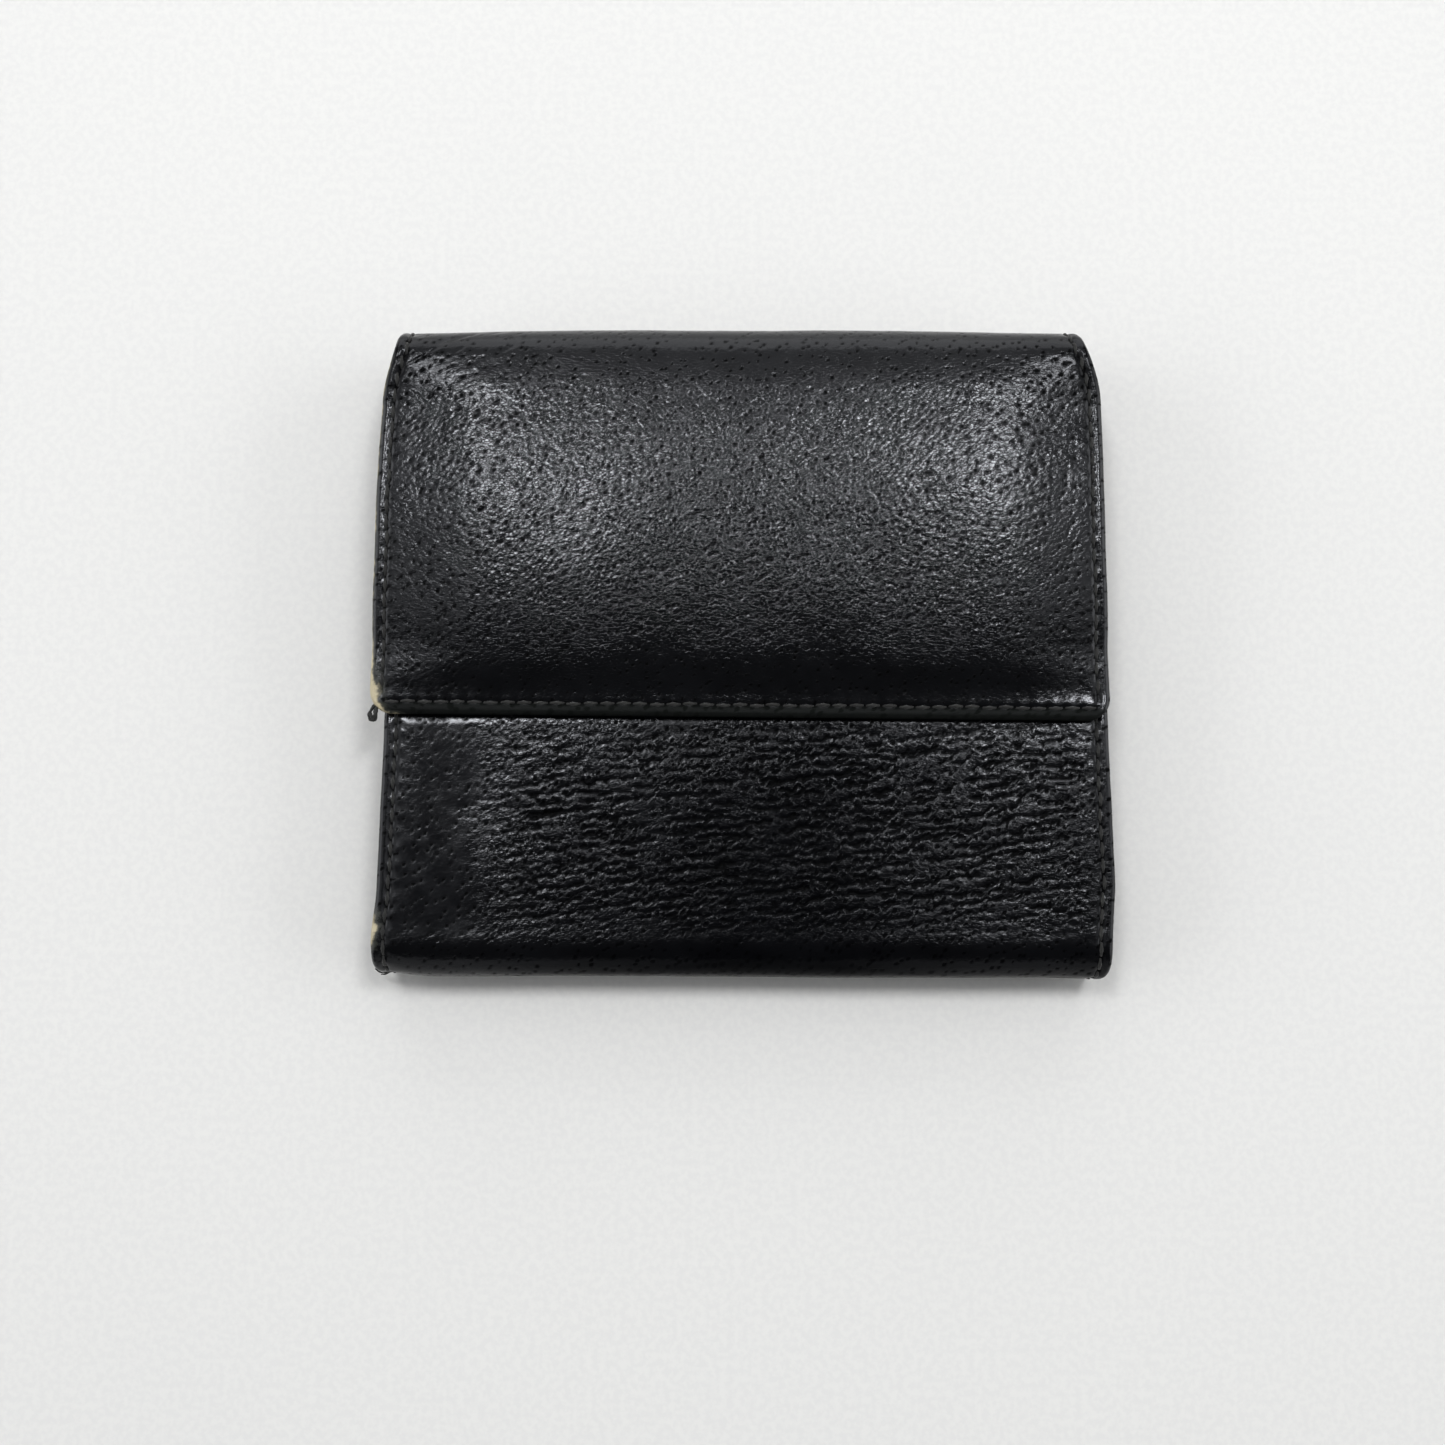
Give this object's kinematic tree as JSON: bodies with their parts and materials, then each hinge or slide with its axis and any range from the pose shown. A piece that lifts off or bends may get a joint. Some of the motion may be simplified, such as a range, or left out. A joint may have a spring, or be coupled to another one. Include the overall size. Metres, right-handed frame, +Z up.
{
  "type": "trifold wallet",
  "caption": "Worn black pigskin trifold wallet, closed, with a padded flap over the front panel and stitched turned edges",
  "frame": {"origin": "centre of the footprint on the underside of the closed wallet, where it rests", "axes": "+X right across the wallet along its folds, +Y from the bottom fold to the top fold, +Z up out of the flap"},
  "size_m": [0.115, 0.1007, 0.0188],
  "materials": {
    "outer_leather": "pebbled pigskin, worn semi-gloss",
    "inner_leather": "smooth, matte",
    "lining_fabric": "plain woven",
    "board": "raw",
    "foam": "soft foam sheet",
    "seam_thread": "twisted, matte",
    "clear_film": "clear, flexible"
  },
  "bodies": {
    "back": {"back_cover": "outer_leather", "back_stitching": "seam_thread", "back_stiffener": "board", "back_lining": "lining_fabric", "bill_side_gusset": "inner_leather", "bill_divider": "inner_leather", "card_panel_backing": "inner_leather", "card_slot_1": "inner_leather", "card_slot_2": "inner_leather", "card_slot_3": "inner_leather", "card_slot_4": "inner_leather"},
    "top_spine": {"top_spine_cover": "outer_leather", "top_spine_stitching": "seam_thread", "top_spine_lining": "lining_fabric", "top_spine_divider": "inner_leather"},
    "flap": {"flap_cover": "outer_leather", "flap_stitching": "seam_thread", "flap_lining": "lining_fabric", "flap_stiffener": "board", "flap_padding": "foam", "flap_slip_pocket_1": "inner_leather", "flap_slip_pocket_2": "inner_leather", "flap_loose_thread": "seam_thread"},
    "bottom_spine": {"bottom_spine_cover": "outer_leather", "bottom_spine_stitching": "seam_thread", "bottom_spine_lining": "lining_fabric", "bottom_spine_divider": "inner_leather", "bottom_loose_thread": "seam_thread"},
    "front": {"front_cover": "outer_leather", "front_stitching": "seam_thread", "front_stiffener": "board", "front_lining": "lining_fabric", "id_window_film": "clear_film", "id_window_frame": "inner_leather"}
  },
  "joints": [
    {"name": "flap_fold", "type": "hinge", "parent": "top_spine", "child": "flap", "pos_m": [0, 0.047, 0.0162], "axis": [-1, 0, 0], "range_deg": [0, 90]},
    {"name": "top_spine_fold", "type": "hinge", "parent": "back", "child": "top_spine", "pos_m": [0, 0.04909, 0.00282], "axis": [-1, 0, 0], "range_deg": [0, 90]},
    {"name": "bottom_spine_fold", "type": "hinge", "parent": "back", "child": "bottom_spine", "pos_m": [0, -0.04854, 0.00146], "axis": [1, 0, 0], "range_deg": [0, 90]},
    {"name": "front_fold", "type": "hinge", "parent": "bottom_spine", "child": "front", "pos_m": [0, -0.0475, 0.01233], "axis": [1, 0, 0], "range_deg": [0, 90]}
  ],
  "couplings": [
    {"joint": "top_spine_fold", "follows": "flap_fold", "ratio": 1},
    {"joint": "bottom_spine_fold", "follows": "flap_fold", "ratio": 1},
    {"joint": "front_fold", "follows": "flap_fold", "ratio": 1}
  ]
}
